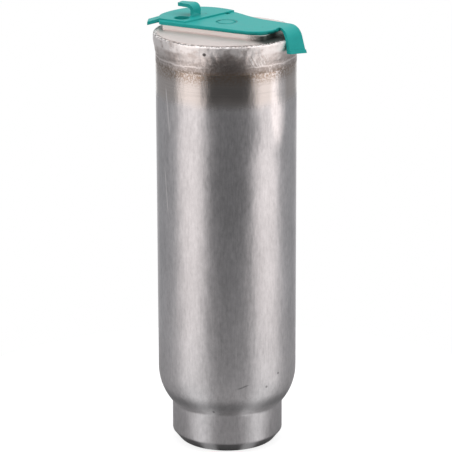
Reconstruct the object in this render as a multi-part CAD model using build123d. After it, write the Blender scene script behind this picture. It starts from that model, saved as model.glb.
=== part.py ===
from build123d import *
import math
import os

# Filter drier (receiver drier) of a vehicle air-conditioning circuit.
# A drawn aluminium can with a reduced foot is welded to a machined head.
# The head's raised block holds the inlet port, the outlet port and a tapped hole
# for one clamping screw. A one-piece moulded transit cap plugs both ports.
# Inside, a spring presses the desiccant bed between two perforated plates, and the
# pickup tube draws the dried liquid from a strainer at the foot of the can.
#
# Frame: origin at the centre of the base, +Z up along the can's axis.
# The flat front of the head's block faces -Y. All lengths are in millimetres.

# ---- can ----
BODY_R = 30.0
WALL = 1.6
BASE_THICK = 3.2
FOOT_R = 24.0
BASE_CHAMFER_W = 3.4
BASE_CHAMFER_H = 4.3
BASE_ROUND = 2.0
FOOT_EDGE_ROUND = 0.7
FOOT_NECK_ROUND = 1.8
FOOT_INNER_ROUND = 2.5
SHOULDER_R = 23.4
SHOULDER_TOP_Z = 33.2
CAN_H = 176.0

# ---- head and its weld ----
FLANGE_SETBACK = 0.6
FLANGE_THICK = 6.5
SPIGOT_DEPTH = 6.0
SPIGOT_CLEAR = 0.05
BLOCK_H = 2.2
BLOCK_INSET = 1.0
BLOCK_CORNER_R = 2.5
BLOCK_LEFT_SETBACK = 2.4
PORT_R = 6.5
PORT_DEPTH = 9.2
PORT_CHAMFER = 0.6
OUTLET_X = 0.0
OUTLET_Y = 0.0
INLET_X = -15.5
INLET_Y = 9.6
INLET_PASSAGE_R = 3.5
SCREW_X = -18.8
SCREW_Y = -4.7
SCREW_TAP_R = 2.5
SCREW_DEPTH = 11.0
SCREW_CHAMFER = 0.6
BEAD_BULGE = 1.2
BEAD_BELOW = 6.0
BEAD_LOWER_H = 5.5
BEAD_UPPER_H = 2.9

# ---- pickup tube, its seal and strainer ----
TUBE_R = 4.0
TUBE_WALL = 0.9
TUBE_FIT = 0.05
TUBE_STOP = 2.0
TUBE_BOSS_WALL = 4.0
TUBE_BOSS_LEN = 6.0
SEAL_SECTION = 1.8
SEAL_GROOVE_H = 2.4
SEAL_FROM_END = 3.0
STRAINER_R = 8.5
STRAINER_H = 19.0
STRAINER_END = 1.5
STRAINER_COLLAR = 6.0
STRAINER_BARS = 4
STRAINER_BAR_W = 2.4
STRAINER_BAR_T = 1.3
GAUZE_THICK = 0.3
FLOOR_GAP = 0.1

# ---- desiccant pack ----
PACK_CLEAR = 0.5
PACK_SEAT_GAP = 0.05
PLATE_THICK = 1.2
PLATE_BORE_CLEAR = 0.3
PLATE_HOLE_R = 1.6
PLATE_INNER_MARGIN = 7.5
PLATE_INNER_HOLES = 8
PLATE_OUTER_MARGIN = 7.9
PLATE_OUTER_HOLES = 14
PAD_THICK = 5.0
BED_H = 84.0
BED_BORE_CLEAR = 0.1
SPRING_MARGIN = 8.9
SPRING_WIRE_R = 1.2
SPRING_TURNS = 4.0
SPRING_WIRE_SIDES = 8
SPRING_END_GAP = 0.05

# ---- transit cap ----
CAP_SEAT_GAP = 0.05
CAP_THICK = 1.5
CAP_FRONT = 11.9
CAP_RIGHT_SETBACK = 5.0
CAP_BACK = 10.2
CAP_BACK_RISE = 1.9
CAP_BACK_BEND_X = 12.0
CAP_LEFT_OVERHANG = 0.8
CAP_LEFT_END_ANGLE = 152.0
CAP_LOBE = 11.3
CAP_CORNER_R = 9.5
CAP_EDGE_ROUND = 0.35
STEP_RISE = 0.7
STEP_FRONT_X = -14.0
STEP_BACK_X = -6.4
STEP_MARGIN = 1.8
SCREW_WINDOW_R = 3.4
RING_MARK_R = 4.3
RING_MARK_W = 0.9
RING_MARK_DEPTH = 0.35
NOTCH_Y = 14.6
NOTCH_LEN = 2.4
NOTCH_W = 1.4
PLUG_FIT = 0.05
PLUG_LEN = 8.0
PLUG_WALL = 1.3
TAB_W = 10.8
TAB_Y = 4.4
TAB_THICK = 1.3
TAB_DROP = 9.6
TAB_GAP = 0.3
TAB_ARCH = 0.7
TAB_BEND_R = 3.2
TAB_LIP = 0.6
TAB_LIP_H = 1.4
EAR_W = 8.8
EAR_Y = -6.8
EAR_REACH = 5.6
EAR_THICK = 1.3
EAR_DROOP = 1.6
HOOK_X = -15.9
HOOK_Y = 2.0
HOOK_W = 6.2
HOOK_TIP_W = 3.8
HOOK_THICK = 1.5
HOOK_H = 5.3
HOOK_REACH = 7.6
HOOK_BEND_R = 2.9
HOOK_ROOT_R = 0.8

# ---- places worked out from the dimensions above ----
INNER_R = BODY_R - WALL
FOOT_INNER_R = FOOT_R - WALL
SHOULDER_X = BODY_R - SHOULDER_R
HEAD_TOP_Z = CAN_H + FLANGE_THICK
BLOCK_TOP_Z = HEAD_TOP_Z + BLOCK_H
HEAD_UNDER_Z = CAN_H - SPIGOT_DEPTH
BOSS_END_Z = HEAD_UNDER_Z - TUBE_BOSS_LEN
PORT_FLOOR_Z = BLOCK_TOP_Z - PORT_DEPTH
TUBE_TOP_Z = PORT_FLOOR_Z - TUBE_STOP
SEAL_Z = BOSS_END_Z + SEAL_FROM_END
FLANGE_R = BODY_R - FLANGE_SETBACK
BLOCK_LEFT_R = FLANGE_R - BLOCK_LEFT_SETBACK
BEAD_R = BODY_R + BEAD_BULGE
BEAD_FOOT_Z = CAN_H - BEAD_BELOW
STRAINER_FOOT_Z = BASE_THICK + FLOOR_GAP
STRAINER_TOP_Z = STRAINER_FOOT_Z + STRAINER_H
TUBE_FOOT_Z = STRAINER_TOP_Z - STRAINER_COLLAR + STRAINER_END
PACK_R = INNER_R - PACK_CLEAR
PLATE_INNER_RING_R = TUBE_R + PLATE_INNER_MARGIN
PLATE_OUTER_RING_R = PACK_R - PLATE_OUTER_MARGIN
SPRING_R = PACK_R - SPRING_MARGIN
CAP_RIGHT = BODY_R - CAP_RIGHT_SETBACK
CAP_LOBE_Y = INLET_Y + CAP_LOBE
CAP_LEFT_R = BODY_R + CAP_LEFT_OVERHANG
CAP_UNDER_Z = BLOCK_TOP_Z + CAP_SEAT_GAP
CAP_TOP_Z = CAP_UNDER_Z + CAP_THICK
STEP_TOP_Z = CAP_TOP_Z + STEP_RISE
STEP_FRONT_Y = STEP_MARGIN - CAP_FRONT
STEP_LEAN = (STEP_BACK_X - STEP_FRONT_X) / (CAP_LOBE_Y - STEP_FRONT_Y)


def shoulder_point(radius, x):
    """Height on the shoulder's arc of the given radius where it is x from the axis."""
    return SHOULDER_TOP_Z - math.sqrt(radius**2 - (x - SHOULDER_X) ** 2)


def shoulder_arc(radius, x_low):
    """The shoulder's arc, from x_low up to where it meets the straight wall."""
    z_low = shoulder_point(radius, x_low)
    half = math.asin((SHOULDER_TOP_Z - z_low) / radius) / 2
    middle = (SHOULDER_X + radius * math.cos(half), SHOULDER_TOP_Z - radius * math.sin(half))
    return ThreePointArc((x_low, z_low), middle, (SHOULDER_X + radius, SHOULDER_TOP_Z))


def rounded(face, corners):
    """The face with a fillet at each corner given as (x, y, radius)."""
    for x, y, radius in corners:
        corner = face.vertices().sort_by_distance((x, y, 0))[0]
        face = fillet(corner, radius)
    return face


def turned(face):
    """The solid of revolution about Z of a face drawn as (radius, height)."""
    return revolve(Plane.XZ * face, Axis.Z)


def ring(outer_r, inner_r, z_low, z_high):
    """A plain ring or tube about Z."""
    section = Circle(outer_r) - Circle(inner_r)
    return extrude(Plane.XY.offset(z_low) * section, z_high - z_low)


def round_bar(x, y, radius, z_low, z_high):
    """A plain upright cylinder."""
    return extrude(Pos(x, y, z_low) * Circle(radius), z_high - z_low)


# ---- can, head and weld ----
def make_can():
    """Impact-extruded can: flat base, reduced foot, curved shoulder, rim turned down for the weld."""
    foot_top = shoulder_point(SHOULDER_R, FOOT_R)
    inner_r = SHOULDER_R - WALL
    foot_inner_top = shoulder_point(inner_r, FOOT_INNER_R)
    outside = Polyline(
        (0, 0),
        (FOOT_R - BASE_CHAMFER_W, 0),
        (FOOT_R, BASE_CHAMFER_H),
        (FOOT_R, foot_top),
    )
    rim = Polyline(
        (BODY_R, SHOULDER_TOP_Z),
        (BODY_R, BEAD_FOOT_Z),
        (FLANGE_R, BEAD_FOOT_Z),
        (FLANGE_R, CAN_H),
        (INNER_R, CAN_H),
        (INNER_R, SHOULDER_TOP_Z),
    )
    inside = Polyline(
        (FOOT_INNER_R, foot_inner_top),
        (FOOT_INNER_R, BASE_THICK),
        (0, BASE_THICK),
        (0, 0),
    )
    shoulders = shoulder_arc(SHOULDER_R, FOOT_R) + shoulder_arc(inner_r, FOOT_INNER_R)
    section = rounded(
        make_face(outside + shoulders + rim + inside),
        [
            (FOOT_R - BASE_CHAMFER_W, 0, BASE_ROUND),
            (FOOT_R, BASE_CHAMFER_H, FOOT_EDGE_ROUND),
            (FOOT_R, foot_top, FOOT_NECK_ROUND),
            (FOOT_INNER_R, BASE_THICK, FOOT_INNER_ROUND),
        ],
    )
    return turned(section)


def port_cut(x, y):
    """Space of one port, with the lead-in chamfer at its mouth."""
    bore = round_bar(x, y, PORT_R, PORT_FLOOR_Z, BLOCK_TOP_Z)
    lead = Pos(x, y, BLOCK_TOP_Z - PORT_CHAMFER / 2) * Cone(PORT_R, PORT_R + PORT_CHAMFER, PORT_CHAMFER)
    return bore + lead


def screw_cut():
    """Space of the tapped hole for the clamping screw: drill point, bore and lead-in."""
    floor = BLOCK_TOP_Z - SCREW_DEPTH
    point_h = SCREW_TAP_R * math.tan(math.radians(31))
    bore = round_bar(SCREW_X, SCREW_Y, SCREW_TAP_R, floor, BLOCK_TOP_Z)
    point = Pos(SCREW_X, SCREW_Y, floor - point_h / 2) * Cone(0, SCREW_TAP_R, point_h)
    mouth_r = SCREW_TAP_R + SCREW_CHAMFER
    lead = Pos(SCREW_X, SCREW_Y, BLOCK_TOP_Z - SCREW_CHAMFER / 2) * Cone(SCREW_TAP_R, mouth_r, SCREW_CHAMFER)
    return bore + point + lead


def make_head():
    """Machined head: flange on the can's rim, spigot inside it, block with the ports."""
    boss_r = TUBE_R + TUBE_BOSS_WALL
    flange = round_bar(0, 0, FLANGE_R, CAN_H, HEAD_TOP_Z)
    spigot = round_bar(0, 0, INNER_R - SPIGOT_CLEAR, HEAD_UNDER_Z, CAN_H)
    boss = round_bar(OUTLET_X, OUTLET_Y, boss_r, BOSS_END_Z, HEAD_UNDER_Z)
    block_plan = plate_outline(BLOCK_INSET, BLOCK_CORNER_R, BLOCK_LEFT_R)
    block = extrude(Plane.XY.offset(HEAD_TOP_Z) * block_plan, BLOCK_H)
    body = flange + spigot + boss + block
    socket = round_bar(OUTLET_X, OUTLET_Y, TUBE_R + TUBE_FIT, BOSS_END_Z, TUBE_TOP_Z)
    groove = round_bar(
        OUTLET_X, OUTLET_Y, TUBE_R + SEAL_SECTION, SEAL_Z - SEAL_GROOVE_H / 2, SEAL_Z + SEAL_GROOVE_H / 2
    )
    throat = round_bar(OUTLET_X, OUTLET_Y, TUBE_R - TUBE_WALL, TUBE_TOP_Z, PORT_FLOOR_Z)
    passage = round_bar(INLET_X, INLET_Y, INLET_PASSAGE_R, HEAD_UNDER_Z, PORT_FLOOR_Z)
    body = body - port_cut(OUTLET_X, OUTLET_Y) - port_cut(INLET_X, INLET_Y) - screw_cut()
    return body - socket - groove - throat - passage


def make_weld_bead():
    """Weld that closes the can on the head: a bulged band round the joint."""
    toe = (BODY_R, BEAD_FOOT_Z)
    swell = (BEAD_R, BEAD_FOOT_Z + BEAD_LOWER_H)
    turn_in = (BEAD_R, HEAD_TOP_Z - BEAD_UPPER_H)
    lip = (FLANGE_R, HEAD_TOP_Z)
    edge = TangentArc(swell, toe, tangent=(0, -1))
    edge += Line(swell, turn_in)
    edge += TangentArc(turn_in, lip, tangent=(0, 1))
    edge += Polyline(lip, (FLANGE_R, BEAD_FOOT_Z), toe)
    return turned(make_face(edge))


# ---- pickup tube, seal and strainer ----
def make_pickup_tube():
    """Pickup tube from the strainer up to its stop in the head."""
    tube = ring(TUBE_R, TUBE_R - TUBE_WALL, TUBE_FOOT_Z, TUBE_TOP_Z)
    return Pos(OUTLET_X, OUTLET_Y, 0) * tube


def make_tube_seal():
    """O-ring in the head's groove, round the top of the tube."""
    section_r = SEAL_SECTION / 2 - TUBE_FIT
    return Pos(OUTLET_X, OUTLET_Y, SEAL_Z) * Torus(TUBE_R + SEAL_SECTION / 2, section_r)


def make_strainer_cage():
    """Moulded cage on the foot of the tube: end disc, upright bars and collar."""
    collar_low = STRAINER_TOP_Z - STRAINER_COLLAR
    end_disc = round_bar(0, 0, STRAINER_R, STRAINER_FOOT_Z, STRAINER_FOOT_Z + STRAINER_END)
    collar = round_bar(0, 0, STRAINER_R, collar_low, STRAINER_TOP_Z)
    socket = round_bar(0, 0, TUBE_R + TUBE_FIT, TUBE_FOOT_Z, STRAINER_TOP_Z)
    mouth = round_bar(0, 0, TUBE_R - TUBE_WALL, collar_low, TUBE_FOOT_Z)
    bar_low = STRAINER_FOOT_Z + STRAINER_END
    bar = Pos(STRAINER_R - STRAINER_BAR_T / 2, 0, (bar_low + collar_low) / 2) * Box(
        STRAINER_BAR_T, STRAINER_BAR_W, collar_low - bar_low
    )
    bars = [Rot(0, 0, 360 * i / STRAINER_BARS) * bar for i in range(STRAINER_BARS)]
    cage = end_disc + collar + bars - socket - mouth
    return Pos(OUTLET_X, OUTLET_Y, 0) * cage


def make_strainer_gauze():
    """Fine wire gauze sleeve inside the cage's bars."""
    outer_r = STRAINER_R - STRAINER_BAR_T - TUBE_FIT
    sleeve = ring(
        outer_r, outer_r - GAUZE_THICK, STRAINER_FOOT_Z + STRAINER_END, STRAINER_TOP_Z - STRAINER_COLLAR
    )
    return Pos(OUTLET_X, OUTLET_Y, 0) * sleeve


# ---- desiccant pack ----
PACK_FOOT_Z = shoulder_point(SHOULDER_R - WALL, PACK_R) + PACK_SEAT_GAP
LOWER_PAD_Z = PACK_FOOT_Z + PLATE_THICK
BED_Z = LOWER_PAD_Z + PAD_THICK
UPPER_PAD_Z = BED_Z + BED_H
UPPER_PLATE_Z = UPPER_PAD_Z + PAD_THICK
SPRING_FOOT_Z = UPPER_PLATE_Z + PLATE_THICK


def pack_layer(z_low, height, bore_clear):
    """One layer of the pack: a disc that fills the can, bored for the tube."""
    disc = round_bar(0, 0, PACK_R, z_low, z_low + height)
    return disc - round_bar(OUTLET_X, OUTLET_Y, TUBE_R + bore_clear, z_low, z_low + height)


def hole_ring(radius, count, z_low):
    """Holes of a perforated plate, evenly spaced round one circle."""
    hole = round_bar(radius, 0, PLATE_HOLE_R, z_low, z_low + PLATE_THICK)
    return [Rot(0, 0, 360 * i / count) * hole for i in range(count)]


def make_perforated_plate(z_low):
    """Perforated plate with two rings of holes."""
    plate = pack_layer(z_low, PLATE_THICK, PLATE_BORE_CLEAR)
    plate = plate - hole_ring(PLATE_INNER_RING_R, PLATE_INNER_HOLES, z_low)
    return plate - hole_ring(PLATE_OUTER_RING_R, PLATE_OUTER_HOLES, z_low)


def make_spring():
    """Compression spring between the upper plate and the head, its wire drawn with flats."""
    low = SPRING_FOOT_Z + SPRING_WIRE_R + SPRING_END_GAP
    height = HEAD_UNDER_Z - SPRING_WIRE_R - SPRING_END_GAP - low
    path = Pos(0, 0, low) * Helix(height / SPRING_TURNS, height, SPRING_R)
    section = Plane(origin=path @ 0, z_dir=path % 0) * RegularPolygon(SPRING_WIRE_R, SPRING_WIRE_SIDES)
    return sweep(section, path, is_frenet=True)


# ---- transit cap ----
def plate_outline(inset, corner_r, left_r):
    """Outline of the cap's plate, or of the block under it when drawn inset."""
    front = -(CAP_FRONT - inset)
    right = CAP_RIGHT - inset
    back = CAP_BACK - inset
    lobe_top = (INLET_X, CAP_LOBE_Y - inset)
    bend = (CAP_BACK_BEND_X, back + CAP_BACK_RISE)
    end_angle = math.radians(CAP_LEFT_END_ANGLE)
    left_end = (left_r * math.cos(end_angle), left_r * math.sin(end_angle))
    left_end_run = (-math.sin(end_angle), math.cos(end_angle))
    front_left = (-math.sqrt(left_r**2 - front**2), front)
    back_run = (bend[0] - right, CAP_BACK_RISE)
    edge = Line(front_left, (right - corner_r, front))
    edge += RadiusArc((right - corner_r, front), (right, front + corner_r), -corner_r)
    edge += Polyline((right, front + corner_r), (right, back), bend)
    edge += Spline(bend, lobe_top, tangents=(back_run, (-1, 0)))
    edge += Spline(lobe_top, left_end, tangents=((-1, 0), left_end_run))
    edge += ThreePointArc(left_end, (-left_r, 0), front_left)
    return make_face(edge)


def step_x(y):
    """Where the foot of the plate's step runs at the given y."""
    return STEP_FRONT_X + (y - STEP_FRONT_Y) * STEP_LEAN


def make_plate():
    """The cap's plate, with the raised step over the inlet port and the screw."""
    outline = plate_outline(0, CAP_CORNER_R, CAP_LEFT_R)
    plate = edge_rounded(extrude(Plane.XY.offset(CAP_UNDER_Z) * outline, CAP_THICK))
    far = 2 * CAP_LEFT_R
    region = make_face(
        Polyline(
            (STEP_FRONT_X, STEP_FRONT_Y),
            (step_x(far), far),
            (-far, far),
            (-far, STEP_FRONT_Y),
            close=True,
        )
    )
    raised = extrude(Plane.XY.offset(CAP_UNDER_Z) * (outline & region), CAP_THICK + STEP_RISE)
    return plate + edge_rounded(raised)


def edge_rounded(flat_piece):
    """The piece with the edges of its top face rounded."""
    return fillet(flat_piece.faces().sort_by(Axis.Z)[-1].edges(), CAP_EDGE_ROUND)


def make_notch():
    """Space of the small through notch at the foot of the step, near its back end."""
    turn = -math.degrees(math.atan(STEP_LEAN))
    place = Pos(step_x(NOTCH_Y) + NOTCH_W / 2, NOTCH_Y, CAP_UNDER_Z) * Rot(0, 0, turn)
    section = place * Rectangle(NOTCH_W, NOTCH_LEN)
    return extrude(section, CAP_THICK)


def make_plug(x, y):
    """Hollow plug, open below, that closes one port."""
    outer_r = PORT_R - PLUG_FIT
    plug = round_bar(x, y, outer_r, CAP_UNDER_Z - PLUG_LEN, CAP_UNDER_Z)
    hollow = round_bar(x, y, outer_r - PLUG_WALL, CAP_UNDER_Z - PLUG_LEN, CAP_UNDER_Z)
    return plug - hollow


def upright(face, y, width):
    """A face drawn as (x, z), made into a strip of the given width centred on y."""
    return extrude(Plane.XZ.offset(-y) * face, width / 2, both=True)


def make_pull_tab():
    """Pull tab: arches over the block's end and hangs outside the weld."""
    inner_x = BEAD_R + TAB_GAP
    outer_x = inner_x + TAB_THICK
    crest_z = CAP_TOP_Z + TAB_ARCH
    foot_z = CAP_TOP_Z - TAB_DROP - TAB_LIP_H
    root_x = CAP_RIGHT - 3 * TAB_THICK
    outside = FilletPolyline(
        (root_x, CAP_TOP_Z),
        (CAP_RIGHT, CAP_TOP_Z),
        (CAP_RIGHT + 2 * TAB_ARCH, crest_z),
        (outer_x - TAB_LIP, crest_z),
        (outer_x, foot_z + TAB_LIP_H),
        radius=[TAB_ARCH, TAB_ARCH, TAB_BEND_R],
    )
    lip = Polyline(
        (outer_x, foot_z + TAB_LIP_H),
        (outer_x + TAB_LIP, foot_z + TAB_LIP_H),
        (outer_x + TAB_LIP, foot_z),
        (inner_x, foot_z),
    )
    inside = FilletPolyline(
        (inner_x, foot_z),
        (inner_x - TAB_LIP, crest_z - TAB_THICK),
        (CAP_RIGHT + 2 * TAB_ARCH, crest_z - TAB_THICK),
        (CAP_RIGHT, CAP_TOP_Z - TAB_THICK),
        (root_x, CAP_TOP_Z - TAB_THICK),
        radius=[TAB_BEND_R - TAB_THICK, TAB_ARCH, TAB_ARCH],
    )
    root = Line((root_x, CAP_TOP_Z - TAB_THICK), (root_x, CAP_TOP_Z))
    return upright(make_face(outside + lip + inside + root), TAB_Y, TAB_W)


def make_ear():
    """Short drooping ear at the cap's left end."""
    root_x = -(CAP_LEFT_R - 4 * EAR_THICK)
    bend_x = -(CAP_LEFT_R - EAR_THICK)
    end_x = -(CAP_LEFT_R + EAR_REACH)
    top_z = CAP_TOP_Z
    section = make_face(
        Polyline(
            (root_x, top_z),
            (bend_x, top_z),
            (end_x, top_z - EAR_DROOP),
            (end_x, top_z - EAR_DROOP - EAR_THICK),
            (bend_x, top_z - EAR_THICK),
            (root_x, top_z - EAR_THICK),
            close=True,
        )
    )
    return upright(section, EAR_Y, EAR_W)


def make_hook():
    """Upright finger hook: rises from the plate and curls to the left."""
    top_z = STEP_TOP_Z + HOOK_H
    outer_x = HOOK_X + HOOK_THICK / 2
    inner_x = HOOK_X - HOOK_THICK / 2
    tip_x = HOOK_X - HOOK_REACH
    root_z = CAP_TOP_Z
    outside = FilletPolyline((outer_x, root_z), (outer_x, top_z), (tip_x, top_z), radius=HOOK_BEND_R)
    flare_x = inner_x - 2 * HOOK_ROOT_R
    inside = FilletPolyline(
        (tip_x, top_z - HOOK_THICK),
        (inner_x, top_z - HOOK_THICK),
        (inner_x, STEP_TOP_Z),
        (flare_x, STEP_TOP_Z),
        radius=[HOOK_BEND_R - HOOK_THICK, HOOK_ROOT_R],
    )
    ends = Line((tip_x, top_z), (tip_x, top_z - HOOK_THICK))
    ends += Polyline((flare_x, STEP_TOP_Z), (flare_x, root_z), (outer_x, root_z))
    strip_form = upright(make_face(outside + inside + ends), HOOK_Y, HOOK_W)
    taper = make_face(
        Polyline(
            (outer_x, HOOK_Y - HOOK_W / 2),
            (inner_x, HOOK_Y - HOOK_W / 2),
            (tip_x, HOOK_Y - HOOK_TIP_W / 2),
            (tip_x, HOOK_Y + HOOK_TIP_W / 2),
            (inner_x, HOOK_Y + HOOK_W / 2),
            (outer_x, HOOK_Y + HOOK_W / 2),
            close=True,
        )
    )
    return strip_form & extrude(Plane.XY.offset(root_z) * taper, top_z - root_z)


def make_transit_cap():
    """One moulding: plate, plugs, pull tab, ear, hook, screw window and marks."""
    cap = make_plate() + make_plug(OUTLET_X, OUTLET_Y) + make_plug(INLET_X, INLET_Y)
    cap = cap + make_pull_tab() + make_ear() + make_hook()
    window = round_bar(SCREW_X, SCREW_Y, SCREW_WINDOW_R, CAP_UNDER_Z, STEP_TOP_Z)
    mark = Pos(OUTLET_X, OUTLET_Y, 0) * ring(
        RING_MARK_R, RING_MARK_R - RING_MARK_W, CAP_TOP_Z - RING_MARK_DEPTH, CAP_TOP_Z
    )
    return cap - window - mark - make_notch()


PIECES = {
    "can": make_can,
    "head": make_head,
    "weld_bead": make_weld_bead,
    "pickup_tube": make_pickup_tube,
    "tube_seal": make_tube_seal,
    "strainer_cage": make_strainer_cage,
    "strainer_gauze": make_strainer_gauze,
    "lower_plate": lambda: make_perforated_plate(PACK_FOOT_Z),
    "lower_pad": lambda: pack_layer(LOWER_PAD_Z, PAD_THICK, BED_BORE_CLEAR),
    "desiccant_bed": lambda: pack_layer(BED_Z, BED_H, BED_BORE_CLEAR),
    "upper_pad": lambda: pack_layer(UPPER_PAD_Z, PAD_THICK, BED_BORE_CLEAR),
    "upper_plate": lambda: make_perforated_plate(UPPER_PLATE_Z),
    "spring": make_spring,
    "transit_cap": make_transit_cap,
}

os.makedirs("parts", exist_ok=True)
for node, make in PIECES.items():
    export_step(make(), f"parts/{node}.step")
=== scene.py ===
import math

import bmesh
import bpy
import numpy as np
from mathutils import Matrix, Vector


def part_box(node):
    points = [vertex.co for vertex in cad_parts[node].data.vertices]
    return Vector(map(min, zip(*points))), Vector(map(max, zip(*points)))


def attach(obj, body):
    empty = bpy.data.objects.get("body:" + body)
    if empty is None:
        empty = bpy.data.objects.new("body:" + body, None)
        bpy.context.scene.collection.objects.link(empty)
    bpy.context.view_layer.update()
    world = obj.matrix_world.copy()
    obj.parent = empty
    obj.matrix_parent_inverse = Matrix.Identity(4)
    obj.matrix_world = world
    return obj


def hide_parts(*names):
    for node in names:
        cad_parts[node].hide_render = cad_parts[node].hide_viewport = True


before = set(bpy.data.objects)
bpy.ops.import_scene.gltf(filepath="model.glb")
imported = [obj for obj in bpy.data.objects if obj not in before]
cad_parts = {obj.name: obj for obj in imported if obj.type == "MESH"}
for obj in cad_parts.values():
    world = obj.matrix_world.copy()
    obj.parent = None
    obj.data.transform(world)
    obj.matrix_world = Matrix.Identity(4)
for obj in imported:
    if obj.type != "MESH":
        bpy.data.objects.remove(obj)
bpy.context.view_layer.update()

MM = 0.001

# ---- view: from the right of the block's flat front, looking down ----
AZIMUTH = math.radians(29.0)
ELEVATION = math.radians(16.8)
DISTANCE = 1166.9 * MM
AIM_HEIGHT = 96.14 * MM
AIM_SIDE = -0.304 * MM
ROLL = math.radians(-0.192)
LENS = 215.04
SENSOR = 36.0

TO_CAMERA = Vector((math.sin(AZIMUTH), -math.cos(AZIMUTH), 0.0))
TO_RIGHT = Vector((math.cos(AZIMUTH), math.sin(AZIMUTH), 0.0))

# ---- sizes of the object, in millimetres ----
WELD_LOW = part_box("weld_bead")[0].z / MM
WELD_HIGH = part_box("weld_bead")[1].z / MM
WELD_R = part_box("weld_bead")[1].x / MM
CAN_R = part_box("can")[1].x / MM
HEAD_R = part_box("head")[1].x / MM
HEAD_TOP_Z = 182.5
CAP_UNDER_Z = 184.75
CAP_TOP_Z = 186.25
ARC_PER_DEGREE = 0.54  # along the can's wall

# ---- moulded marks on the cap's plate: a centre in x and y, and a radius, in millimetres ----
RING_AT = (0.0, 0.7)
RING_R = 4.3
DOTS = (((18.3, -1.5), 0.30), ((-13.9, 7.5), 0.42))

# ---- where finishes begin and end: Z is a height in millimetres, TURN is round_angle in degrees ----
CHAMFER_Z = (3.6, 5.2)
FOOT_Z = (14.0, 22.0)
NECK_Z = (19.5, 25.0)
LOWER_CAN_Z = (50.0, 120.0)
SWELL_Z = (136.0, 154.0)
SWELL_TURN = (10.0, 58.0)
TURNED_Z = (153.5, 159.5)
# painted dark reflection at the front of the can, just under the weld
DARK_REFLECTION_Z = (154.0, 162.0)
DARK_REFLECTION_TURN = (-20.0, 22.0)
SCORCH_Z = (163.5, 169.5)
WELD_TOE_Z = (170.4, 171.8)
WELD_SHADE_Z = (172.0, 178.5)
# painted highlight along the weld's lower ridge, at the sides
RIDGE_HIGHLIGHT_Z = (172.7, 173.3)
RIDGE_HIGHLIGHT_TURN = (13.0, 24.0)
# painted highlight along the top of the weld
CROWN_HIGHLIGHT_Z = (177.4, 179.0)
EDGE_Z = (WELD_HIGH - 0.75, WELD_HIGH - 0.2)
BLOCK_Z = (HEAD_TOP_Z + 0.35, HEAD_TOP_Z + 0.5)
SHUT_Z = (HEAD_TOP_Z - 0.8, CAP_UNDER_Z - 0.2)
SHUT_TURN = (30.0, 62.0)
PLATE_TOP_Z = (CAP_TOP_Z - 0.3, CAP_TOP_Z - 0.1)

# ---- single spots, each a centre and its reach, as degrees round and millimetres up ----
# painted highlight: a pale tongue on the right of the can
HIGHLIGHT_SPOT = ((47.5, 157.0), (10.5, 21.0))
GROUND = ((26.0, 176.0), (11.0, 3.6))
# painted dark reflection: a dark arch at the front of the weld
DARK_ARCH = ((0.5, 168.5), (19.5, 12.0))
WELD_PIT = ((-17.0, 178.9), (1.6, 0.8))
CAN_PITS = (
    ((34.4, 31.3), (1.3, 0.6)),
    ((47.0, 36.0), (1.2, 0.6)),
    ((-13.2, 19.9), (1.4, 0.7)),
)

# ---- straight marks, each from one place to another, with half its width in millimetres ----
BRIGHT_MARKS = (
    ((-56.0, 107.0), (-60.6, 126.0), 0.32),
    ((-53.0, 143.0), (-57.5, 161.0), 0.40),
)
DARK_MARK = ((9.5, 31.9), (17.0, 33.4), 0.9)

# ---- colours ----
DRAWN_METAL = (0.615, 0.600, 0.605)
HEATED_METAL = (0.665, 0.612, 0.580)
# painted dark reflection
DARK_REFLECTION_METAL = (0.22, 0.195, 0.18)
# painted highlight
HIGHLIGHT_COLOUR = (0.92, 0.87, 0.86)
SCORCHED_METAL = (0.34, 0.245, 0.175)
NECK_SHADE = (0.16, 0.16, 0.165)
FOOT_SHADE = (0.42, 0.41, 0.42)
CHAMFER_SHADE = (0.14, 0.14, 0.145)
BRIGHT_SCRATCH = (0.95, 0.91, 0.90)
DARK_SCRATCH = (0.10, 0.10, 0.10)
HEAD_METAL = ((0.70, 0.625, 0.60), (0.80, 0.72, 0.695))
BLOCK_METAL = (0.80, 0.77, 0.74)
SHUT_SHADE = (0.014, 0.040, 0.034)
WELD_METAL = ((0.60, 0.53, 0.495), (0.86, 0.80, 0.77))
WELD_SHADE = (0.30, 0.255, 0.23)
# painted highlight
WELD_RIDGE_HIGHLIGHT = (0.90, 0.84, 0.81)
# painted highlight
WELD_CROWN_HIGHLIGHT = (0.96, 0.92, 0.90)
# painted dark reflection
WELD_DARK_REFLECTION = (0.165, 0.140, 0.128)
WELD_GROUND = (0.95, 0.92, 0.90)
WELD_TOE = (0.26, 0.20, 0.155)
WELD_DIRT = (0.07, 0.06, 0.055)
TEAL = ((0.006, 0.315, 0.290), (0.018, 0.385, 0.355))
TEAL_IN_RING = (0.010, 0.300, 0.280)
TEAL_SHADE = (0.002, 0.110, 0.105)
WHITE = (1.0, 1.0, 1.0)


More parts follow.
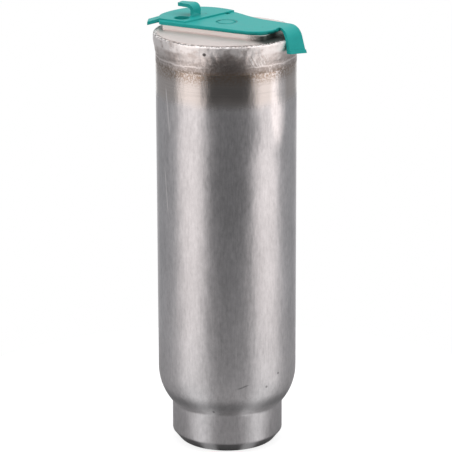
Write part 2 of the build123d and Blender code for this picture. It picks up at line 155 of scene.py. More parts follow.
# ---- node trees ----
class Graph:
    """Short calls that build a node tree."""

    def __init__(self, tree):
        self.tree = tree

    def node(self, kind, **settings):
        made = self.tree.nodes.new(kind)
        for name, value in settings.items():
            setattr(made, name, value)
        return made

    def put(self, socket, value):
        """Links a socket, or sets its own value."""
        if isinstance(value, bpy.types.NodeSocket):
            self.tree.links.new(value, socket)
        elif isinstance(value, tuple) and len(value) == 3 and socket.type == "RGBA":
            socket.default_value = (*value, 1.0)
        else:
            socket.default_value = value

    def math(self, operation, *values, clamp=False):
        made = self.node("ShaderNodeMath", operation=operation, use_clamp=clamp)
        for socket, value in zip(made.inputs, values):
            self.put(socket, value)
        return made.outputs[0]

    def add(self, a, b):
        return self.math("ADD", a, b)

    def less(self, a, b):
        return self.math("SUBTRACT", a, b)

    def times(self, a, b):
        return self.math("MULTIPLY", a, b)

    def over(self, a, b):
        return self.math("DIVIDE", a, b)

    def most(self, a, b):
        return self.math("MAXIMUM", a, b)

    def size(self, value):
        return self.math("ABSOLUTE", value)

    def vector(self, operation, *values):
        made = self.node("ShaderNodeVectorMath", operation=operation)
        for socket, value in zip(made.inputs, values):
            self.put(socket, value)
        return made.outputs["Value" if operation in ("DOT_PRODUCT", "LENGTH") else "Vector"]

    def split(self, value):
        made = self.node("ShaderNodeSeparateXYZ")
        self.put(made.inputs[0], value)
        return made.outputs

    def join(self, x, y, z):
        made = self.node("ShaderNodeCombineXYZ")
        for socket, value in zip(made.inputs, (x, y, z)):
            self.put(socket, value)
        return made.outputs[0]

    def place(self):
        """The point of the surface in the object's own frame, in millimetres."""
        coordinates = self.node("ShaderNodeTexCoord").outputs["Object"]
        return self.vector("MULTIPLY", coordinates, (1 / MM,) * 3)

    def rise(self, value, low, high, top=1.0):
        """0 below low, top above high, with a soft step between."""
        made = self.node("ShaderNodeMapRange", interpolation_type="SMOOTHSTEP")
        for name, number in (("Value", value), ("From Min", low), ("From Max", high), ("To Max", top)):
            self.put(made.inputs[name], number)
        return made.outputs[0]

    def fall(self, value, low, high):
        """1 below low, 0 above high, with a soft step between."""
        return self.less(1.0, self.rise(value, low, high))

    def band(self, value, low, high, soft):
        """1 between low and high, with soft ends."""
        start = self.rise(value, low - soft, low + soft)
        return self.times(start, self.fall(value, high - soft, high + soft))

    def sway(self, noise, reach):
        """A noise as a number that swings about 0, so far from end to end."""
        return self.times(self.less(noise, 0.5), reach)

    def noise(self, place, stretch, detail=3.0, roughness=0.55, seed=0.0):
        """Noise at so many lumps a millimetre along each axis."""
        made = self.node("ShaderNodeTexNoise", noise_dimensions="4D")
        self.put(made.inputs["Vector"], self.vector("MULTIPLY", place, stretch))
        self.put(made.inputs["W"], seed)
        self.put(made.inputs["Scale"], 1.0)
        self.put(made.inputs["Detail"], detail)
        self.put(made.inputs["Roughness"], roughness)
        return made.outputs["Fac"]

    def cells(self, place, stretch):
        """Distance to the middle of the nearest cell, at so many cells a millimetre."""
        made = self.node("ShaderNodeTexVoronoi", feature="F1")
        self.put(made.inputs["Vector"], self.vector("MULTIPLY", place, stretch))
        self.put(made.inputs["Scale"], 1.0)
        return made.outputs["Distance"]

    def between(self, kind, share, a, b):
        made = self.node("ShaderNodeMix", data_type=kind)
        sockets = [s for s in made.inputs if s.enabled]
        for socket, value in zip(sockets, (share, a, b)):
            self.put(socket, value)
        return [s for s in made.outputs if s.enabled][0]

    def mix(self, share, a, b):
        """A colour between a and b."""
        return self.between("RGBA", share, a, b)

    def blend(self, share, a, b):
        """A number between a and b."""
        return self.between("FLOAT", share, a, b)

    def stain(self, colour, share, strength, tint):
        """A colour with a tint laid over it, at the given strength where the share is 1."""
        return self.mix(self.times(share, strength), colour, tint)

    def bump(self, height, depth_mm, below=None):
        """Relief of the given depth for a height of 1, on top of another relief."""
        made = self.node("ShaderNodeBump")
        self.put(made.inputs["Strength"], 1.0)
        self.put(made.inputs["Distance"], depth_mm * MM)
        self.put(made.inputs["Height"], height)
        if below is not None:
            self.put(made.inputs["Normal"], below)
        return made.outputs[0]


def mark(g, turn, z, start, end, half):
    """1 on a straight mark between two places, each given as degrees round and height in mm."""
    share = g.over(g.less(z, start[1]), end[1] - start[1])
    line = g.add(start[0], g.times(share, end[0] - start[0]))
    off = g.times(g.less(turn, line), ARC_PER_DEGREE)
    return g.times(g.band(off, -half, half, 0.6 * half), g.band(share, 0.0, 1.0, 0.12))


def spot(g, turn, z, centre, reach):
    """1 in the middle of a soft round spot, 0 at its rim, its reach in degrees and mm."""
    across = g.over(g.less(turn, centre[0]), reach[0])
    upright = g.over(g.less(z, centre[1]), reach[1])
    return g.fall(g.vector("LENGTH", g.join(across, upright, 0.0)), 0.6, 1.1)


def from_centre(g, x, y, centre=(0.0, 0.0)):
    """Distance from an upright line through the given centre, in mm."""
    return g.vector("LENGTH", g.join(g.less(x, centre[0]), g.less(y, centre[1]), 0.0))


def new_material(name, **constants):
    """A material, its graph, and its shader with the given constants set on the sockets."""
    material = bpy.data.materials.new(name)
    material.use_nodes = True
    graph = Graph(material.node_tree)
    shader = material.node_tree.nodes["Principled BSDF"]
    for socket, value in constants.items():
        graph.put(shader.inputs[socket.replace("_", " ")], value)
    return material, graph, shader


def round_angle(graph, place):
    """Degrees round the axis, 0 at the side that faces the view, rising to the right."""
    facing = graph.vector("DOT_PRODUCT", place, tuple(TO_CAMERA))
    side = graph.vector("DOT_PRODUCT", place, tuple(TO_RIGHT))
    return graph.times(graph.math("ARCTAN2", side, facing), 180 / math.pi)


# ---- finishes ----
def can_aluminium():
    """Drawn aluminium: lines along the can, a turned band and heat stain under the weld, a painted
    dark reflection at the front under the weld, a painted highlight on the right, and painted shade at
    the neck, foot and chamfer.
    """
    material, g, shader = new_material("can_aluminium", Metallic=1.0)
    place = g.place()
    z = g.split(place)[2]
    turn = round_angle(g, place)
    streaks = g.noise(place, (1.9, 1.9, 0.16), detail=5.0, roughness=0.65)
    fine = g.noise(place, (5.0, 5.0, 0.6), detail=3.0, seed=3.0)
    mottle = g.noise(place, (0.70, 0.70, 0.36), detail=6.0, roughness=0.72, seed=21.0)
    patches = g.noise(place, (0.10, 0.10, 0.045), detail=4.0, seed=8.0)
    turned = g.noise(place, (0.05, 0.05, 6.0), detail=4.0, seed=5.0)
    specks = g.noise(place, (1.3, 1.3, 1.3), detail=4.0, seed=11.0)
    wavy = g.add(z, g.sway(patches, 3.5))
    heated = g.rise(wavy, *TURNED_Z)

    # painted dark reflection: darker at the front of the can, just under the weld
    dark_reflection = g.times(g.band(turn, *DARK_REFLECTION_TURN, 11.0), g.rise(wavy, *DARK_REFLECTION_Z))
    scorch = g.times(g.rise(wavy, *SCORCH_Z), g.rise(specks, 0.36, 0.60))
    colour = g.mix(heated, DRAWN_METAL, HEATED_METAL)
    colour = g.stain(colour, dark_reflection, 0.62, DARK_REFLECTION_METAL)
    # painted highlight on the right of the can
    colour = g.stain(colour, spot(g, turn, z, *HIGHLIGHT_SPOT), 0.75, HIGHLIGHT_COLOUR)
    colour = g.stain(colour, scorch, 0.8, SCORCHED_METAL)
    colour = g.stain(colour, g.band(z, *NECK_Z, 2.6), 0.62, NECK_SHADE)
    colour = g.stain(colour, g.fall(z, *FOOT_Z), 0.30, FOOT_SHADE)

    tone = g.add(0.18, g.times(streaks, 0.48))
    tone = g.add(tone, g.add(g.times(mottle, 0.74), g.times(patches, 0.44)))
    tone = g.blend(heated, tone, g.add(0.70, g.times(turned, 0.50)))
    colour = g.vector("MULTIPLY", colour, g.join(tone, tone, tone))

    light = g.most(*(mark(g, turn, z, *ends) for ends in BRIGHT_MARKS))
    dark = g.times(mark(g, turn, z, *DARK_MARK), 0.8)
    for pit in CAN_PITS:
        dark = g.most(dark, spot(g, turn, z, *pit))
    colour = g.stain(colour, light, 0.8, BRIGHT_SCRATCH)
    colour = g.stain(colour, dark, 0.65, DARK_SCRATCH)
    colour = g.stain(colour, g.fall(z, *CHAMFER_Z), 0.72, CHAMFER_SHADE)
    g.put(shader.inputs["Base Color"], colour)

    low = g.fall(z, *LOWER_CAN_Z)
    rough = g.add(g.add(0.24, g.times(mottle, 0.16)), g.times(low, 0.07))
    g.put(shader.inputs["Roughness"], g.blend(heated, rough, g.add(0.10, g.times(specks, 0.12))))
    lines = g.blend(heated, g.add(g.times(streaks, 0.7), g.times(fine, 0.3)), turned)
    swell = g.times(g.rise(turn, *SWELL_TURN), g.band(z, *SWELL_Z, 6.0))
    relief = g.bump(swell, 1.3)
    relief = g.bump(patches, 0.30, relief)
    relief = g.bump(lines, 0.035, relief)
    g.put(shader.inputs["Normal"], g.bump(specks, 0.008, relief))
    return material


def head_aluminium():
    """Turned and milled aluminium: matt rings, a smooth wall, dark where the cap shuts out light."""
    material, g, shader = new_material("head_aluminium", Metallic=1.0)
    place = g.place()
    x, y, z = g.split(place)
    turn = round_angle(g, place)
    rings = g.noise(g.join(from_centre(g, x, y), 0.0, z), (5.0, 1.0, 1.0), detail=3.0)
    grain = g.noise(place, (3.0, 3.0, 3.0), detail=4.0, seed=2.0)
    clouds = g.noise(place, (0.12, 0.12, 0.12), detail=3.0, seed=4.0)
    wavy = g.add(turn, g.sway(grain, 14.0))
    shut = g.times(g.band(wavy, *SHUT_TURN, 6.0), g.band(z, *SHUT_Z, 0.12))

    colour = g.mix(clouds, *HEAD_METAL)
    colour = g.mix(g.rise(z, *BLOCK_Z), colour, BLOCK_METAL)
    colour = g.stain(colour, shut, 0.88, SHUT_SHADE)
    g.put(shader.inputs["Base Color"], colour)
    g.put(shader.inputs["Roughness"], g.add(0.42, g.times(grain, 0.2)))
    g.put(shader.inputs["Normal"], g.bump(grain, 0.02, g.bump(rings, 0.03)))
    return material


def weld_metal():
    """Weld: a painted highlight and a rougher finish on top, a painted highlight on the lower ridge,
    pinkish at the sides, painted shade low down, a painted dark reflection in the middle, partly
    ground.
    """
    material, g, shader = new_material("weld_metal", Metallic=1.0)
    place = g.place()
    z = g.split(place)[2]
    turn = round_angle(g, place)
    grain = g.noise(place, (1.1, 1.1, 1.1), detail=5.0, roughness=0.62)
    fine = g.noise(place, (4.0, 4.0, 4.0), detail=3.0, seed=2.0)
    clouds = g.noise(place, (0.22, 0.22, 0.30), detail=4.0, roughness=0.6, seed=6.0)
    around = g.times(turn, ARC_PER_DEGREE)
    over_scratch = g.add(g.times(around, 2.4), g.times(z, 1.5))
    along_scratch = g.times(g.less(around, z), 0.10)
    slanted = g.join(over_scratch, along_scratch, 0.0)
    scratches = g.noise(slanted, (1.0, 1.0, 1.0), detail=3.0, seed=9.0)

    ground = spot(g, turn, z, *GROUND)
    shade = g.times(g.fall(z, *WELD_SHADE_Z), g.rise(grain, 0.26, 0.60))
    wavy = g.add(z, g.sway(clouds, 2.5))
    # painted highlight along the lower ridge, at the sides
    ridge = g.times(g.band(wavy, *RIDGE_HIGHLIGHT_Z, 0.25), g.rise(g.size(turn), *RIDGE_HIGHLIGHT_TURN))
    # painted highlight along the top of the weld
    crown_highlight = g.times(g.rise(z, *CROWN_HIGHLIGHT_Z), g.rise(clouds, 0.30, 0.52))
    ragged = g.sway(grain, 8.0)
    # painted dark reflection: a ragged dark arch at the front of the weld
    dark_arch = spot(g, g.add(turn, ragged), g.add(z, g.times(ragged, 0.2)), *DARK_ARCH)
    scratched = g.times(ground, g.rise(scratches, 0.48, 0.56, 0.75))
    toe = g.times(g.fall(z, *WELD_TOE_Z), g.rise(grain, 0.34, 0.56))
    edge = g.times(g.rise(z, *EDGE_Z), g.rise(grain, 0.44, 0.56))
    dirt = g.most(g.times(edge, 0.8), g.times(spot(g, turn, z, *WELD_PIT), 0.9))

    colour = g.mix(g.rise(clouds, 0.32, 0.68), *WELD_METAL)
    colour = g.stain(colour, shade, 0.72, WELD_SHADE)
    colour = g.stain(colour, ridge, 0.75, WELD_RIDGE_HIGHLIGHT)
    colour = g.stain(colour, crown_highlight, 0.85, WELD_CROWN_HIGHLIGHT)
    colour = g.stain(colour, dark_arch, 0.72, WELD_DARK_REFLECTION)
    colour = g.mix(scratched, colour, WELD_GROUND)
    colour = g.stain(colour, toe, 0.75, WELD_TOE)
    g.put(shader.inputs["Base Color"], g.mix(dirt, colour, WELD_DIRT))
    g.put(shader.inputs["Roughness"], g.add(g.blend(crown_highlight, 0.20, 0.30), g.times(fine, 0.28)))
    relief = g.bump(grain, 0.16)
    relief = g.bump(g.times(scratches, ground), 0.12, relief)
    g.put(shader.inputs["Normal"], g.bump(fine, 0.03, relief))
    return material


def cap_plastic():
    """Satin moulded polyethylene in teal, with its ring mark, two dark dots and faint grain."""
    material, g, shader = new_material("cap_plastic", Metallic=0.0, IOR=1.5, Specular_IOR_Level=0.18)
    place = g.place()
    x, y, z = g.split(place)
    grain = g.noise(place, (9.0, 9.0, 9.0), detail=2.0)
    flow = g.noise(place, (0.12, 0.3, 0.3), detail=3.0, seed=4.0)
    top = g.rise(z, *PLATE_TOP_Z)
    from_ring = from_centre(g, x, y, RING_AT)
    ring = g.times(g.band(from_ring, RING_R - 0.30, RING_R + 0.30, 0.14), top)
    inside = g.times(g.fall(from_ring, RING_R - 0.5, RING_R - 0.2), top)
    dark = g.times(ring, 0.60)
    for centre, radius in DOTS:
        dot = g.fall(from_centre(g, x, y, centre), radius, radius + 0.25)
        dark = g.most(dark, g.times(g.times(dot, top), 0.6))

    colour = g.mix(flow, *TEAL)
    colour = g.stain(colour, inside, 0.25, TEAL_IN_RING)
    g.put(shader.inputs["Base Color"], g.mix(dark, colour, TEAL_SHADE))
    g.put(shader.inputs["Roughness"], g.add(0.38, g.times(flow, 0.12)))
    relief = g.bump(flow, 0.05)
    relief = g.bump(g.less(1.0, ring), 0.10, relief)
    g.put(shader.inputs["Normal"], g.bump(grain, 0.006, relief))
    return material


def plain_metal(name, colour, rough, stretch):
    """Metal of an inner piece, with lines the way it was drawn or rolled."""
    material, g, shader = new_material(name, Metallic=1.0)
    place = g.place()
    lines = g.noise(place, stretch, detail=3.0)
    clouds = g.noise(place, (0.2, 0.2, 0.2), detail=2.0, seed=3.0)
    darker = tuple(0.8 * part for part in colour)
    g.put(shader.inputs["Base Color"], g.mix(clouds, darker, colour))
    g.put(shader.inputs["Roughness"], g.add(rough, g.times(lines, 0.15)))
    g.put(shader.inputs["Normal"], g.bump(lines, 0.02))
    return material


def plain_mould(name, colour, rough):
    """Moulded rubber or plastic of an inner piece, with the mould's grain."""
    material, g, shader = new_material(name, Metallic=0.0)
    place = g.place()
    grain = g.noise(place, (6.0, 6.0, 6.0), detail=3.0)
    lighter = tuple(min(1.0, 1.25 * part) for part in colour)
    g.put(shader.inputs["Base Color"], g.mix(grain, colour, lighter))
    g.put(shader.inputs["Roughness"], g.add(rough, g.times(grain, 0.15)))
    g.put(shader.inputs["Normal"], g.bump(grain, 0.02))
    return material


def gauze():
    """Woven wire gauze: two sets of crossing wires."""
    material, g, shader = new_material("gauze_steel", Metallic=1.0)
    place = g.place()
    z = g.split(place)[2]
    turn = g.times(round_angle(g, place), 1.2)
    upright = g.size(g.math("SINE", g.times(turn, 2.0)))
    across = g.size(g.math("SINE", g.times(z, 12.0)))
    weave = g.most(upright, across)
    g.put(shader.inputs["Base Color"], g.mix(weave, (0.08, 0.08, 0.08), (0.62, 0.62, 0.60)))
    g.put(shader.inputs["Roughness"], g.blend(weave, 0.6, 0.3))
    g.put(shader.inputs["Normal"], g.bump(weave, 0.06))
    return material


def felt():
    """Needled felt: short fibres in all directions."""
    material, g, shader = new_material("felt", Metallic=0.0, Roughness=0.95)
    place = g.place()
    fibres = g.noise(place, (4.0, 1.2, 4.0), detail=6.0, roughness=0.8)
    cross = g.noise(place, (1.2, 4.0, 4.0), detail=6.0, roughness=0.8, seed=5.0)
    nap = g.most(fibres, cross)
    g.put(shader.inputs["Base Color"], g.mix(nap, (0.70, 0.68, 0.62), (0.92, 0.91, 0.87)))
    g.put(shader.inputs["Normal"], g.bump(nap, 0.25))
    return material


def beads():
    """A bed of small round beads of molecular sieve."""
    material, g, shader = new_material("desiccant", Metallic=0.0, Roughness=0.85)
    place = g.place()
    bead = g.cells(place, (0.55, 0.55, 0.55))
    dome = g.math("SQRT", g.math("SUBTRACT", 1.0, g.times(bead, bead), clamp=True))
    tone = g.noise(place, (0.5, 0.5, 0.5), detail=2.0)
    colour = g.mix(tone, (0.66, 0.58, 0.45), (0.84, 0.78, 0.66))
    # painted shade in the gaps between the beads
    g.put(shader.inputs["Base Color"], g.mix(g.rise(bead, 0.55, 0.8), colour, (0.25, 0.21, 0.16)))
    g.put(shader.inputs["Normal"], g.bump(dome, 0.8))
    return material


def dress(material, *nodes):
    """Puts a material on every slot of the named pieces."""
    for name in nodes:
        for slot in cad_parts[name].material_slots:
            slot.material = material


# ---- weld: a bead laid round the joint, lumpy, with a ragged lip and a double lower ridge ----
# Depths and heights are in millimetres, starts, runs, places and widths are shares of the profile.
WELD_SEED = 7
WELD_STEPS = 720
WELD_PROFILE = 44
TOE_START, TOE_RUN = 0.12, 0.40
CROWN_START, CROWN_RUN = 0.66, 0.34
OVER_HEAD = 0.7  # from here up the bead lies on the head and not on the can
LUMP_WAVES = 26
LUMP_COUNTS = (4, 70)
LUMP_CLIMBS = (-5.0, 5.0)
LUMP_DEPTH = 0.30
LUMP_LIFT = 0.15
RIDGE_HEIGHT = 0.20
RIDGE_PLACE, RIDGE_WIDTH = 0.25, 0.045
GROOVE_PLACE, GROOVE_WIDTH = 0.17, 0.04
RIDGE_FREE = 0.1  # the front's middle, as a share of the turn to the back, has next to no ridge
LIP_WAVES = (41, 57, 73, 131, 163)
LIP_START, LIP_RUN = 0.8, 0.2
LIP_DROP = 0.22
MOST_SHIFT = 6.28  # a wave may start anywhere in its turn
INNER_DROP = 0.6  # how far below the lip the hidden inside begins
WELD_SHARP = math.radians(50)


def smooth(share):
    """0 below 0, 1 above 1, with a soft step between."""
    share = np.clip(share, 0.0, 1.0)
    return share * share * (3 - 2 * share)


def hump(along, place, width):
    """1 at a place along the profile, 0 away from it."""
    return np.exp(-(((along - place) / width) ** 2))


def weld_rows():
    """The weld's rows of points round the axis: its skin from toe to lip, then its hidden inside."""
    rng = np.random.default_rng(WELD_SEED)
    angle = np.linspace(0, 2 * math.pi, WELD_STEPS, endpoint=False)[None, :]
    along = np.linspace(0, 1, WELD_PROFILE + 1)[:, None]
    r = CAN_R + (WELD_R - CAN_R) * smooth((along - TOE_START) / TOE_RUN)
    r = r - (WELD_R - HEAD_R) * np.clip((along - CROWN_START) / CROWN_RUN, 0, 1) ** 2.4
    body = np.sin(math.pi * along) ** 0.7
    lumps = np.zeros((WELD_PROFILE + 1, WELD_STEPS))
    counts, climbs = rng.integers(*LUMP_COUNTS, LUMP_WAVES), rng.uniform(*LUMP_CLIMBS, LUMP_WAVES)
    for count, climb in zip(counts, climbs):
        wave = np.sin(count * angle + climb * along * 3 + rng.uniform(0, MOST_SHIFT))
        lumps += wave / math.sqrt(count)
    lumps /= np.abs(lumps).max()
    away = 0.5 - 0.5 * np.cos(angle - AZIMUTH + math.pi / 2)  # 0 facing the view, 1 behind
    ridged = smooth(0.5 + 2.2 * (away - RIDGE_FREE))
    ridge = hump(along, RIDGE_PLACE, RIDGE_WIDTH) - hump(along, GROOVE_PLACE, GROOVE_WIDTH)
    r = r - LUMP_DEPTH * body * (1 + lumps) / 2 + RIDGE_HEIGHT * ridge * ridged
    waves = [np.sin(count * angle + rng.uniform(0, MOST_SHIFT)) for count in LIP_WAVES]
    lip = sum(waves) / len(waves)
    z = WELD_LOW + (WELD_HIGH - WELD_LOW) * np.sin(along * math.pi / 2) ** 0.92
    z = z + LUMP_LIFT * body * lumps - LIP_DROP * (1 + lip) * smooth((along - LIP_START) / LIP_RUN)
    r = np.clip(r, np.where(along < OVER_HEAD, CAN_R, HEAD_R), WELD_R)
    z = np.clip(z, WELD_LOW, WELD_HIGH)
    rows = [np.stack([r * np.cos(angle), r * np.sin(angle), z], axis=2).reshape(-1, 3)]
    for height in (WELD_HIGH - INNER_DROP, WELD_LOW):
        flat = np.full_like(angle, height)
        rows.append(np.concatenate([HEAD_R * np.cos(angle), HEAD_R * np.sin(angle), flat]).T)
    return np.concatenate(rows) * MM


def make_weld():
    """A closed ring: every row of points is joined to the next, and the last to the first."""
    points = weld_rows()
    steps = WELD_STEPS
    total = len(points) // steps
    faces = []
    for row in range(total):
        near, far = row * steps, (row + 1) % total * steps
        for column in range(steps):
            right = (column + 1) % steps
            faces.append((near + column, near + right, far + right, far + column))
    piece = finished_mesh("weld_seam", points.tolist(), faces)
    piece.data.set_sharp_from_angle(angle=WELD_SHARP)
    return piece


def finished_mesh(name, points, faces):
    """A smooth-shaded piece with its faces turned outwards, from points in metres."""
    mesh = bpy.data.meshes.new(name)
    mesh.from_pydata(points, [], faces)
    made = bmesh.new()
    made.from_mesh(mesh)
    bmesh.ops.recalc_face_normals(made, faces=made.faces)
    made.to_mesh(mesh)
    made.free()
    mesh.shade_smooth()
    return linked(name, mesh)


def linked(name, mesh):
    """A new object in the scene with the given mesh."""
    piece = bpy.data.objects.new(name, mesh)
    bpy.context.collection.objects.link(piece)
    return piece


# ---- cap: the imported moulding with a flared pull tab, a slanted left end and a turned ear ----
# Sizes and places are in millimetres.
MERGE_GAP = 0.002
TAB_CUT_X = 25.02
TAB_ROOT_X = 22.0
TAB_FLARE_X = 25.0
TAB_FLARE_RUN = 9.0
TAB_NEAR_Y, TAB_NEAR_FLARE = 1.3, 0.78  # an edge at the plate, and how it slants for each mm out
TAB_FAR_Y, TAB_FAR_FLARE = 10.0, 0.23
TAB_TOP_Z = 186.28
TAB_THICK = 1.25
TAB_LEAN = math.radians(16.7)
TAB_TURN = math.pi / 2 - TAB_LEAN
TAB_WELD_X, TAB_WELD_Z = 31.3, 179.6  # where the leaning leg passes the weld's shoulder
TAB_BEND_R = 6.0
TAB_BEND_STEPS = 8
TAB_FOOT_Y, TAB_FOOT_Z = 0.8, 176.05
TAB_FOOT_SLANT = 0.155  # fall for each mm of y
TAB_LIP, TAB_LIP_H = 0.45, 1.5  # how far it stands out, and its height
TAB_COLUMNS = 9
TAB_ROUNDING = 0.18
LEFT_ARC_X, LEFT_ARC_Y = -9.466, 2.360
LEFT_ARC_R = 21.464
LEFT_ARC_STEPS = 12
LEFT_END_Y, LEFT_END_RUN = 0.3, 14.0
TRIM_X = -40.0
TRIM_Z = (180.0, 190.0)
EAR_OUTLINE = ((-26.2, 1.1), (-31.0, -1.0), (-36.1, -3.5), (-33.4, -9.1), (-28.3, -6.9), (-23.7, -4.5))
EAR_TOP_Z = (186.27, 186.27, 184.55, 184.55, 186.27, 186.27)
EAR_THICK = 1.5
EAR_ROUNDING = 0.22
ROUNDED_FROM = math.radians(40)
CAP_SHARP = math.radians(32)


def solid(name, points, faces, bevel_mm):
    """A closed piece with slightly rounded edges, from points in millimetres."""
    piece = finished_mesh(name, [tuple(c * MM for c in point) for point in points], faces)
    piece.data.shade_flat()
    if bevel_mm:
        rounding = piece.modifiers.new("rounding", "BEVEL")
        rounding.width = bevel_mm * MM
        rounding.segments = 2
        rounding.limit_method = "ANGLE"
        rounding.angle_limit = ROUNDED_FROM
        apply_all(piece)
    return piece


def apply_all(piece):
    """Makes the shape after all modifiers the piece's own mesh."""
    shaped = piece.evaluated_get(bpy.context.evaluated_depsgraph_get())
    piece.data = bpy.data.meshes.new_from_object(shaped)
    piece.modifiers.clear()


def combine(piece, tool, operation):
    """Joins the tool to the piece, or cuts it out, and deletes the tool."""
    step = piece.modifiers.new("step", "BOOLEAN")
    step.operation = operation
    step.solver = "EXACT"
    step.object = tool
    apply_all(piece)
    bpy.data.objects.remove(tool)


def leg_x(z):
    """The inner face of the tab's leaning leg, at a height."""
    return TAB_WELD_X + (TAB_WELD_Z - z) * math.tan(TAB_LEAN)


def tab_section(kind, value, foot_z):
    """The tab's outer and inner face in x and z, at one station along it."""
    across = TAB_THICK / math.cos(TAB_LEAN)
    centre_z = TAB_TOP_Z - TAB_BEND_R
    if kind == "flat":
        return (value, TAB_TOP_Z), (value, TAB_TOP_Z - TAB_THICK)
    if kind == "bend":
        start_x = leg_x(TAB_TOP_Z) + across - TAB_BEND_R * math.tan(TAB_TURN / 2)
        sine, cosine = math.sin(value), math.cos(value)
        inner_r = TAB_BEND_R - TAB_THICK
        outer = (start_x + TAB_BEND_R * sine, centre_z + TAB_BEND_R * cosine)
        return outer, (start_x + inner_r * sine, centre_z + inner_r * cosine)
    top_z = centre_z + TAB_BEND_R * math.cos(TAB_TURN)
    lip_z = foot_z + TAB_LIP_H
    if kind == "leg":
        z, lip = top_z + (lip_z - top_z) * value, 0.0
    else:
        z, lip = (foot_z if kind == "foot" else lip_z), value
    return (leg_x(z) + across + lip, z), (leg_x(z), z)


def strip_faces(rows, columns):
    """Faces of a strip with two grids of points, one behind the other, joined at their rims."""
    count = rows * columns
    faces = []
    for row in range(rows - 1):
        for column in range(columns - 1):
            a = row * columns + column
            b = count + a
            faces.append((a, a + 1, a + columns + 1, a + columns))
            faces.append((b, b + columns, b + columns + 1, b + 1))
    for row in range(rows - 1):
        for a in (row * columns, row * columns + columns - 1):
            faces.append((a, a + columns, count + a + columns, count + a))
    for column in range(columns - 1):
        for a in (column, (rows - 1) * columns + column):
            faces.append((a, a + 1, count + a + 1, count + a))
    return faces


def make_tab():
    """A strip that bends down over the weld, widens towards its slanted foot and ends in a lip."""
    stations = [("flat", TAB_ROOT_X), ("flat", TAB_FLARE_X)]
    stations += [("bend", TAB_TURN * step / TAB_BEND_STEPS) for step in range(TAB_BEND_STEPS + 1)]
    stations += [("leg", 0.3), ("leg", 0.6), ("lip", 0.0), ("lip", TAB_LIP), ("foot", TAB_LIP)]
    outer, inner = [], []
    for kind, value in stations:
        for column in range(TAB_COLUMNS):
            share = column / (TAB_COLUMNS - 1)
            y = TAB_FOOT_Y
            for _ in range(2):  # the foot's slant follows y, and y follows the foot's slant
                foot_z = TAB_FOOT_Z - TAB_FOOT_SLANT * (y - TAB_FOOT_Y)
                (out_x, out_z), (in_x, in_z) = tab_section(kind, value, foot_z)
                beyond = max(0.0, min(TAB_FLARE_RUN, out_x - TAB_FLARE_X))
                near = TAB_NEAR_Y - TAB_NEAR_FLARE * beyond
                far = TAB_FAR_Y - TAB_FAR_FLARE * beyond
                y = near + (far - near) * share
            outer.append((out_x, y, out_z))
            inner.append((in_x, y, in_z))
    return solid("tab_tool", outer + inner, strip_faces(len(stations), TAB_COLUMNS), TAB_ROUNDING)


def prism(name, outline, low, high, bevel_mm=0.0):
    """A flat outline made into a solid; low and high give each corner's heights."""
    count = len(outline)
    points = [(x, y, z) for heights in (low, high) for (x, y), z in zip(outline, heights)]
    faces = [tuple(range(count)), tuple(range(count, 2 * count))]
    faces += [(n, (n + 1) % count, count + (n + 1) % count, count + n) for n in range(count)]
    return solid(name, points, faces, bevel_mm)


def left_end():
    """What lies left of the plate's slanted, rounded end."""
    outline = []
    for step in range(LEFT_ARC_STEPS + 1):
        y = LEFT_END_Y - LEFT_END_RUN * step / LEFT_ARC_STEPS
        outline.append((LEFT_ARC_X - math.sqrt(LEFT_ARC_R**2 - (y - LEFT_ARC_Y) ** 2), y))
    outline += [(TRIM_X, LEFT_END_Y - LEFT_END_RUN), (TRIM_X, LEFT_END_Y)]
    low, high = ([z] * len(outline) for z in TRIM_Z)
    return prism("trim_tool", outline, low, high)


def make_ear():
    """The short grip at the left end, level at its root and drooping at its tip."""
    under = [z - EAR_THICK for z in EAR_TOP_Z]
    return prism("ear_tool", EAR_OUTLINE, under, EAR_TOP_Z, EAR_ROUNDING)


def packed_plate():
    """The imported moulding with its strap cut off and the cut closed."""
    made = bmesh.new()
    made.from_mesh(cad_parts["transit_cap"].data)
    bmesh.ops.remove_doubles(made, verts=made.verts, dist=MERGE_GAP * MM)
    geometry = list(made.verts) + list(made.edges) + list(made.faces)
    cut = bmesh.ops.bisect_plane(
        made, geom=geometry, plane_co=(TAB_CUT_X * MM, 0, 0), plane_no=(1, 0, 0), clear_outer=True
    )
    rim = [edge for edge in cut["geom_cut"] if isinstance(edge, bmesh.types.BMEdge)]
    bmesh.ops.edgenet_fill(made, edges=rim)
    bmesh.ops.recalc_face_normals(made, faces=made.faces)
    mesh = bpy.data.meshes.new("cap_moulding")
    made.to_mesh(mesh)
    made.free()
    return linked("cap_moulding", mesh)


def make_cap():
    """The whole moulding, smooth on its rounded edges and crisp on its flat faces."""
    piece = packed_plate()
    combine(piece, left_end(), "DIFFERENCE")
    combine(piece, make_ear(), "UNION")
    combine(piece, make_tab(), "UNION")
    piece.data.shade_smooth()
    piece.data.set_sharp_from_angle(angle=CAP_SHARP)
    normals = piece.modifiers.new("normals", "WEIGHTED_NORMAL")
    normals.keep_sharp = True
    normals.weight = 100
    apply_all(piece)
    return piece


# ---- studio: turns are round_angle in degrees, levels are strengths of light ----
FLOOR_R = 150 * MM
FLOOR_DROP = 0.3 * MM
FLOOR_COLOURS = ((0.27, 0.27, 0.27), (0.29, 0.29, 0.29))
FLOOR_SEEN = 0.82
FLOOR_IN_METAL, CLOTH_IN_METAL = 0.05, 0.62
FAN_R = 27.0  # a round wall fans out what it mirrors in the floor close to it
CLOTHS = ((-84.0, -37.0), (46.0, 92.0))
CLOTH_SOFT = 11.0
CLOTH_LEVEL = 1.10
TENT_LEVEL = 0.16
BACK_TURN, BACK_LEVEL = (70.0, 100.0), 0.22
ROOF_HEIGHT, ROOF_LEVEL = (0.25, 0.65), 0.85
BACKDROP_TURN = (150.0, 170.0)
COOL_CLOTH, WARM_CLOTH = (0.960, 0.970, 1.0), (1.0, 0.950, 0.942)


def tent_sides(g, turn):
    """The tent's bright cloth: 1 at its left and right side, by degrees round the object."""
    return g.add(*(g.band(turn, *cloth, CLOTH_SOFT) for cloth in CLOTHS))


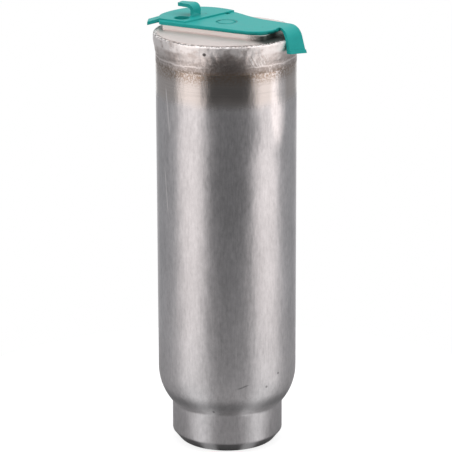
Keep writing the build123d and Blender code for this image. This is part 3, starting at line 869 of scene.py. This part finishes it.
def make_floor():
    """Round table top, white to the eye; metal mirrors the tent's bright and dark sides in it."""
    material, g, shader = new_material("table_top", Roughness=0.9, Specular_IOR_Level=0.0)
    place = g.place()
    grain = g.noise(place, (0.02, 0.02, 0.02), detail=2.0)
    g.put(shader.inputs["Base Color"], g.mix(grain, *FLOOR_COLOURS))
    rays = g.node("ShaderNodeLightPath").outputs
    seen = g.most(rays["Is Camera Ray"], rays["Is Transmission Ray"])
    across = g.times(g.vector("LENGTH", place), 2.0)
    fan = g.over(across, g.less(across, FAN_R))
    turn = g.times(round_angle(g, place), fan)
    mirrored = g.add(FLOOR_IN_METAL, g.times(tent_sides(g, turn), CLOTH_IN_METAL))
    strength = g.add(g.times(seen, FLOOR_SEEN), g.times(rays["Is Glossy Ray"], mirrored))
    g.put(shader.inputs["Emission Color"], WHITE)
    g.put(shader.inputs["Emission Strength"], strength)
    mesh = bpy.data.meshes.new("table_top")
    made = bmesh.new()
    bmesh.ops.create_circle(made, cap_ends=True, radius=FLOOR_R, segments=256)
    made.to_mesh(mesh)
    made.free()
    floor = linked("table_top", mesh)
    floor.location.z = -FLOOR_DROP
    floor.data.materials.append(material)


def make_world():
    """Light tent: bright cloth at both sides and overhead, dark to the front, white backdrop."""
    world = bpy.data.worlds.new("light_tent")
    bpy.context.scene.world = world
    world.use_nodes = True
    g = Graph(world.node_tree)
    direction = g.node("ShaderNodeTexCoord").outputs["Generated"]
    height = g.split(direction)[2]
    turn = round_angle(g, direction)
    away = g.size(turn)
    sides = tent_sides(g, turn)
    level = g.add(TENT_LEVEL, g.rise(away, *BACK_TURN, BACK_LEVEL))
    level = g.add(level, g.times(sides, CLOTH_LEVEL))
    level = g.add(level, g.rise(height, *ROOF_HEIGHT, ROOF_LEVEL))
    rays = g.node("ShaderNodeLightPath").outputs
    mirrored = g.most(rays["Is Glossy Ray"], rays["Is Transmission Ray"])
    white = g.most(rays["Is Camera Ray"], g.times(mirrored, g.rise(away, *BACKDROP_TURN)))
    tint = g.mix(g.rise(sides, 0.0, 0.8), COOL_CLOTH, WARM_CLOTH)
    background = world.node_tree.nodes["Background"]
    g.put(background.inputs["Color"], g.mix(white, tint, WHITE))
    g.put(background.inputs["Strength"], g.blend(white, level, 1.0))


def make_camera():
    """The camera at its distance from the point it aims at, rolled a little, then turned round."""
    tilt = Vector((0.0, math.cos(ELEVATION), -math.sin(ELEVATION)))
    right = Vector((1.0, 0.0, 0.0))
    up = right.cross(tilt)
    across = math.cos(ROLL) * right + math.sin(ROLL) * up
    upward = -math.sin(ROLL) * right + math.cos(ROLL) * up
    back, rise = DISTANCE * math.cos(ELEVATION), DISTANCE * math.sin(ELEVATION)
    eye = Vector((AIM_SIDE, -back, AIM_HEIGHT + rise))
    pose = Matrix((across, upward, -tilt)).transposed()
    data = bpy.data.cameras.new("camera")
    data.sensor_width = SENSOR
    data.lens = LENS
    camera = bpy.data.objects.new("camera", data)
    camera.matrix_world = Matrix.Rotation(AZIMUTH, 4, "Z") @ Matrix.Translation(eye) @ pose.to_4x4()
    bpy.context.collection.objects.link(camera)
    bpy.context.scene.camera = camera


# ---- put together ----
dress(can_aluminium(), "can")
dress(head_aluminium(), "head")
dress(plain_metal("tube_aluminium", (0.66, 0.66, 0.67), 0.25, (3.0, 3.0, 0.05)), "pickup_tube")
dress(plain_mould("seal_rubber", (0.03, 0.03, 0.03), 0.45), "tube_seal")
dress(plain_mould("nylon", (0.72, 0.70, 0.63), 0.40), "strainer_cage")
dress(gauze(), "strainer_gauze")
dress(
    plain_metal("plate_steel", (0.60, 0.60, 0.60), 0.30, (0.4, 6.0, 1.0)), "lower_plate", "upper_plate"
)
dress(felt(), "lower_pad", "upper_pad")
dress(beads(), "desiccant_bed")
dress(plain_metal("spring_steel", (0.42, 0.43, 0.44), 0.30, (2.0, 2.0, 2.0)), "spring")

weld = make_weld()
weld.data.materials.append(weld_metal())
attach(weld, "drier")
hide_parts("weld_bead")

cap = make_cap()
cap.data.materials.clear()
cap.data.materials.append(cap_plastic())
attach(cap, "cap")
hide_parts("transit_cap")

make_floor()
make_world()
make_camera()
bpy.context.scene.view_settings.view_transform = "Standard"
